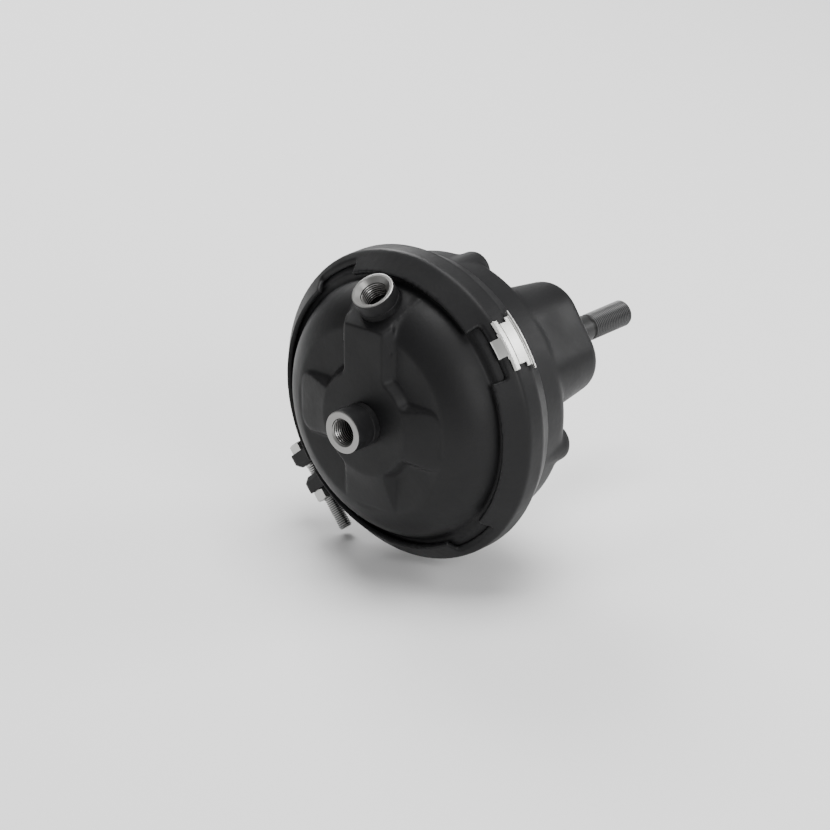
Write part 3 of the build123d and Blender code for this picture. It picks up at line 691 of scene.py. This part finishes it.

# %% [markdown]
# A painted highlight turns sharp edges grey. Pointiness tells how sharp the surface is at a
# spot, and a little noise breaks the line up, so only parts of an edge carry the painted highlight.

# %% Group: painted edge highlight
edge_highlight, edge_highlight_in, edge_highlight_out = new_group(
    "painted_edge_highlight", [("Amount", 0.5)], [("Mask", "NodeSocketFloat")]
)
geometry = edge_highlight.nodes.new("ShaderNodeNewGeometry")
sharp = map_range(edge_highlight, geometry.outputs["Pointiness"], 0.52, 0.60, 0.0, 1.0)
breaks = object_noise(edge_highlight, 140, 4)
broken = map_range(edge_highlight, breaks.outputs["Fac"], 0.42, 0.62, 0.0, 1.0)
edge_mask = maths(edge_highlight, "MULTIPLY", sharp.outputs["Result"], broken.outputs["Result"])
edge_share = maths(edge_highlight, "MULTIPLY", edge_mask.outputs["Value"], edge_highlight_in.outputs["Amount"])
edge_highlight.links.new(edge_share.outputs["Value"], edge_highlight_out.inputs["Mask"])

# %% [markdown]
# A lathe tool leaves fine rings round the axis of the work. The group measures the distance from
# the object's X axis and sends it through noise, one value for each radius.

# %% Group: turned rings
rings, rings_in, rings_out = new_group(
    "turned_rings", [("Lines", 2200.0)], [("Value", "NodeSocketFloat")]
)
ring_place = rings.nodes.new("ShaderNodeTexCoord")
ring_parts = rings.nodes.new("ShaderNodeSeparateXYZ")
rings.links.new(ring_place.outputs["Object"], ring_parts.inputs["Vector"])
square_y = maths(rings, "MULTIPLY", ring_parts.outputs["Y"], ring_parts.outputs["Y"])
square_z = maths(rings, "MULTIPLY", ring_parts.outputs["Z"], ring_parts.outputs["Z"])
square = maths(rings, "ADD", square_y.outputs["Value"], square_z.outputs["Value"])
radius = maths(rings, "SQRT", square.outputs["Value"], 0)
ring_at = rings.nodes.new("ShaderNodeCombineXYZ")
rings.links.new(radius.outputs["Value"], ring_at.inputs["X"])
rings.links.new(ring_parts.outputs["X"], ring_at.inputs["Y"])
ring_noise = rings.nodes.new("ShaderNodeTexNoise")
ring_noise.inputs["Detail"].default_value = 2
rings.links.new(ring_at.outputs["Vector"], ring_noise.inputs["Vector"])
rings.links.new(rings_in.outputs["Lines"], ring_noise.inputs["Scale"])
rings.links.new(ring_noise.outputs["Fac"], rings_out.inputs["Value"])

# %% [markdown]
# One function starts each finish: it makes the material and sets the plain values on the shader.
# Others link in a group's output and add a Bump that takes its height from a group.

# %% Start a finish
def finish(name, colour, roughness, metallic=0.0, coat=0.0):
    material = bpy.data.materials.new(name)
    material.use_nodes = True
    shader = material.node_tree.nodes["Principled BSDF"]
    shader.inputs["Base Color"].default_value = (*colour, 1)
    shader.inputs["Roughness"].default_value = roughness
    shader.inputs["Metallic"].default_value = metallic
    shader.inputs["Coat Weight"].default_value = coat
    shader.inputs["Coat Roughness"].default_value = 0.2
    return material


def use_group(material, group, **values):
    node = material.node_tree.nodes.new("ShaderNodeGroup")
    node.node_tree = group
    for label, value in values.items():
        node.inputs[label].default_value = value
    return node


def feed(material, output, socket):
    shader = material.node_tree.nodes["Principled BSDF"]
    material.node_tree.links.new(output, shader.inputs[socket])


def bump(material, height, strength, distance):
    node = material.node_tree.nodes.new("ShaderNodeBump")
    node.inputs["Strength"].default_value = strength
    node.inputs["Distance"].default_value = distance
    material.node_tree.links.new(height, node.inputs["Height"])
    feed(material, node.outputs["Normal"], "Normal")


def thread_height(material):
    """Mask for the painted highlight on crests and painted shade in roots; the lower half of each flank
    counts as root.
    """
    tree = material.node_tree
    node = tree.nodes.new("ShaderNodeAttribute")
    node.attribute_name = "thread_height"
    return map_range(tree, node.outputs["Fac"], 0.45, 0.95, 0.0, 1.0).outputs["Result"]


def colour_between(material, mask, first, second):
    node = material.node_tree.nodes.new("ShaderNodeMix")
    node.data_type = "RGBA"
    node.inputs["A"].default_value = (*first, 1)
    node.inputs["B"].default_value = (*second, 1)
    material.node_tree.links.new(mask, node.inputs["Factor"])
    feed(material, node.outputs["Result"], "Base Color")


# %% [markdown]
# The shells wear a thick satin black coat: nearly black, soft highlights and a slight peel. Parts
# of the edges get a painted highlight, a touch of grey.

# %% Finish: black coat
BLACK = (0.0065, 0.0065, 0.007)
black_coat = finish("black_coat", BLACK, 0.42)
black_coat.node_tree.nodes["Principled BSDF"].inputs["Specular IOR Level"].default_value = 0.22
coat_clouds = use_group(black_coat, mottle, Low=0.44, High=0.56)
feed(black_coat, coat_clouds.outputs["Value"], "Roughness")
# Painted highlight: parts of the sharp edges turn from black to grey.
coat_edge_highlight = use_group(black_coat, edge_highlight, Amount=0.35)
colour_between(black_coat, coat_edge_highlight.outputs["Mask"], BLACK, (0.05, 0.05, 0.05))
coat_grain = use_group(black_coat, grain, Fine=0.35)
bump(black_coat, coat_grain.outputs["Height"], 0.22, 0.0004)

# %% [markdown]
# The port mouths are bare machined steel. Rings from the tool break the reflection into fine
# arcs. Their threads are oily, and the thread of the rod is phosphated. On both, the thread roots
# get a painted shade and the crests a painted highlight.

# %% Finishes: machined steel, oiled thread with painted light, phosphate
machined = finish("machined_steel", (0.28, 0.277, 0.27), 0.36, metallic=1.0)
machined_rings = use_group(machined, rings, Lines=1800.0)
machined_rough = use_group(machined, mottle, Low=0.32, High=0.46)
feed(machined, machined_rough.outputs["Value"], "Roughness")
bump(machined, machined_rings.outputs["Value"], 0.25, 0.0002)

oiled_thread_painted_light = finish("oiled_thread_painted_light", (0.16, 0.155, 0.15), 0.34, metallic=0.9)
oiled_rough = use_group(oiled_thread_painted_light, mottle, Low=0.25, High=0.45)
feed(oiled_thread_painted_light, oiled_rough.outputs["Value"], "Roughness")
# Painted shade in the thread roots and a painted highlight on the crests.
colour_between(oiled_thread_painted_light, thread_height(oiled_thread_painted_light), (0.012, 0.012, 0.012), (0.52, 0.51, 0.50))

phosphate = finish("phosphate", (0.03, 0.03, 0.031), 0.42, metallic=0.35)
# Painted shade in the thread roots and a painted highlight on the crests.
colour_between(phosphate, thread_height(phosphate), (0.0015, 0.0015, 0.0015), (0.065, 0.065, 0.066))
phosphate_rough = use_group(phosphate, mottle, Low=0.32, High=0.5)
feed(phosphate, phosphate_rough.outputs["Value"], "Roughness")
phosphate_grain = use_group(phosphate, grain, Fine=0.8)
bump(phosphate, phosphate_grain.outputs["Height"], 0.15, 0.0003)

# %% [markdown]
# Zinc plating is bright with a faint cloudy bloom. The clip is stainless strip, rolled smooth.

# %% Finishes: zinc and clip steel
zinc = finish("zinc", (0.42, 0.42, 0.41), 0.3, metallic=1.0)
# Painted shade in the thread roots and a painted highlight on the crests.
colour_between(zinc, thread_height(zinc), (0.15, 0.15, 0.15), (0.42, 0.42, 0.41))
zinc_rough = use_group(zinc, mottle, Low=0.22, High=0.40)
feed(zinc, zinc_rough.outputs["Value"], "Roughness")
zinc_grain = use_group(zinc, grain, Fine=0.6)
bump(zinc, zinc_grain.outputs["Height"], 0.10, 0.0002)

clip_steel = finish("clip_steel", (0.66, 0.66, 0.64), 0.4, metallic=1.0)
clip_rough = use_group(clip_steel, mottle, Low=0.36, High=0.48)
feed(clip_steel, clip_rough.outputs["Value"], "Roughness")
clip_grain = use_group(clip_steel, grain, Fine=0.4)
bump(clip_steel, clip_grain.outputs["Height"], 0.08, 0.0002)

# %% [markdown]
# The pieces inside are rubber, nylon, coated spring wire and plated plate steel.

# %% Finishes: inside the chamber
rubber = finish("rubber", (0.016, 0.016, 0.016), 0.7)
rubber_grain = use_group(rubber, grain, Fine=0.9)
bump(rubber, rubber_grain.outputs["Height"], 0.3, 0.0003)

nylon = finish("nylon", (0.62, 0.60, 0.52), 0.42)
nylon_rough = use_group(nylon, mottle, Low=0.36, High=0.5)
feed(nylon, nylon_rough.outputs["Value"], "Roughness")

black_plastic = finish("black_plastic", (0.014, 0.014, 0.014), 0.45)
plastic_grain = use_group(black_plastic, grain, Fine=0.9)
bump(black_plastic, plastic_grain.outputs["Height"], 0.2, 0.0003)

spring_steel = finish("spring_steel", (0.10, 0.10, 0.105), 0.38, metallic=0.6)
spring_rough = use_group(spring_steel, mottle, Low=0.3, High=0.48)
feed(spring_steel, spring_rough.outputs["Value"], "Roughness")

plated = finish("plated_steel", (0.50, 0.49, 0.46), 0.36, metallic=1.0)
plated_rough = use_group(plated, mottle, Low=0.28, High=0.46)
feed(plated, plated_rough.outputs["Value"], "Roughness")

# %% [markdown]
# The port blanks carry three finishes by slot number. All other pieces wear a single one, and so
# do the solids of the frame that stay as they are.

# %% Give each piece its finish
def wear(piece, *finishes):
    """Puts the finishes in the piece's slots; its faces keep the slot numbers that they have."""
    while len(piece.data.materials) < len(finishes):
        piece.data.materials.append(None)
    while len(piece.data.materials) > len(finishes):
        piece.data.materials.pop()
    for number, each in enumerate(finishes):
        piece.data.materials[number] = each


for shell in (cover, housing, ring, *ears):
    wear(shell, black_coat)
for port in (centre_port, top_port):
    wear(port, machined, oiled_thread_painted_light, black_coat)
for fastener in (bolt, nut):
    wear(fastener, zinc)
wear(clip, clip_steel)
wear(rod, phosphate)
wear(spring, spring_steel)
wear(cup, rubber)
for node, each in (
    ("vent_plugs", black_plastic), ("nose_stiffener", plated), ("mounting_nuts", plated),
    ("guide_bush", nylon), ("dust_seal", rubber), ("seal_retainer", plated),
    ("push_plate", plated), ("rod_socket", plated),
):
    wear(nodes[node], each)

# %% [markdown]
# The chamber rests over a pale floor. The floor runs far out, so its edge never shows.

# %% Floor
low_z = min(corner.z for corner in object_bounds())
bpy.ops.object.select_all(action="DESELECT")
bpy.ops.mesh.primitive_plane_add(size=14, location=(0, 0, low_z - 0.002))
floor = bpy.context.active_object
floor.name = "floor"
floor_paint = finish("floor_paint", (0.86, 0.86, 0.86), 0.7)
wear(floor, floor_paint)
floor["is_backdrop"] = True

# %% [markdown]
# Black satin shows its lights more than itself. Large soft boxes give it broad, quiet highlights:
# one behind it for a thin rim of light, one above, one in front for the side of the bowl and one
# on the right for the clip and the nose.

# %% Lights
def soft_box(name, place, aim, width, height, power):
    light = bpy.data.lights.new(name, "AREA")
    light.shape = "RECTANGLE"
    light.size = width
    light.size_y = height
    light.energy = power
    lamp = bpy.data.objects.new(name, light)
    bpy.context.collection.objects.link(lamp)
    towards = Vector(aim) - Vector(place)
    lamp.location = place
    lamp.rotation_euler = towards.to_track_quat("-Z", "Y").to_euler()
    return lamp


centre = Vector((-0.04, 0, 0))
soft_box("back_box", (0.8, 1.5, 1.2), centre, 1.0, 1.0, 36)
soft_box("top_box", (0.1, -0.1, 1.9), centre, 1.2, 1.2, 48)
soft_box("front_box", (-0.75, -1.9, 0.9), centre, 0.7, 0.9, 30)
soft_box("right_box", (1.3, -1.0, 0.8), centre, 0.7, 0.7, 15)

world = bpy.data.worlds.new("studio")
world.use_nodes = True
world.node_tree.nodes["Background"].inputs["Color"].default_value = (1, 1, 1, 1)
world.node_tree.nodes["Background"].inputs["Strength"].default_value = 0.26
bpy.context.scene.world = world

# %% [markdown]
# A long lens from two metres away keeps the view nearly parallel, as in a catalogue picture.

# %% Camera
AZIMUTH = radians(-48.5)
ELEVATION = radians(22.5)
CAMERA_DISTANCE = 2.0
RING_CENTRE = Vector((-79 * MM, 0, 0))
SHIFT_RIGHT = 3.3 * MM
SHIFT_DOWN = 6.1 * MM
back = Vector((sin(AZIMUTH) * cos(ELEVATION), -cos(AZIMUTH) * cos(ELEVATION), sin(ELEVATION)))
right = Vector((cos(AZIMUTH), sin(AZIMUTH), 0))
up = back.cross(right)
aim = RING_CENTRE + right * SHIFT_RIGHT - up * SHIFT_DOWN
camera_data = bpy.data.cameras.new("camera")
camera_data.lens = 156
camera_data.sensor_width = 36
camera = bpy.data.objects.new("camera", camera_data)
bpy.context.collection.objects.link(camera)
camera.location = aim + back * CAMERA_DISTANCE
camera.rotation_euler = (-back).to_track_quat("-Z", "Y").to_euler()
bpy.context.scene.camera = camera
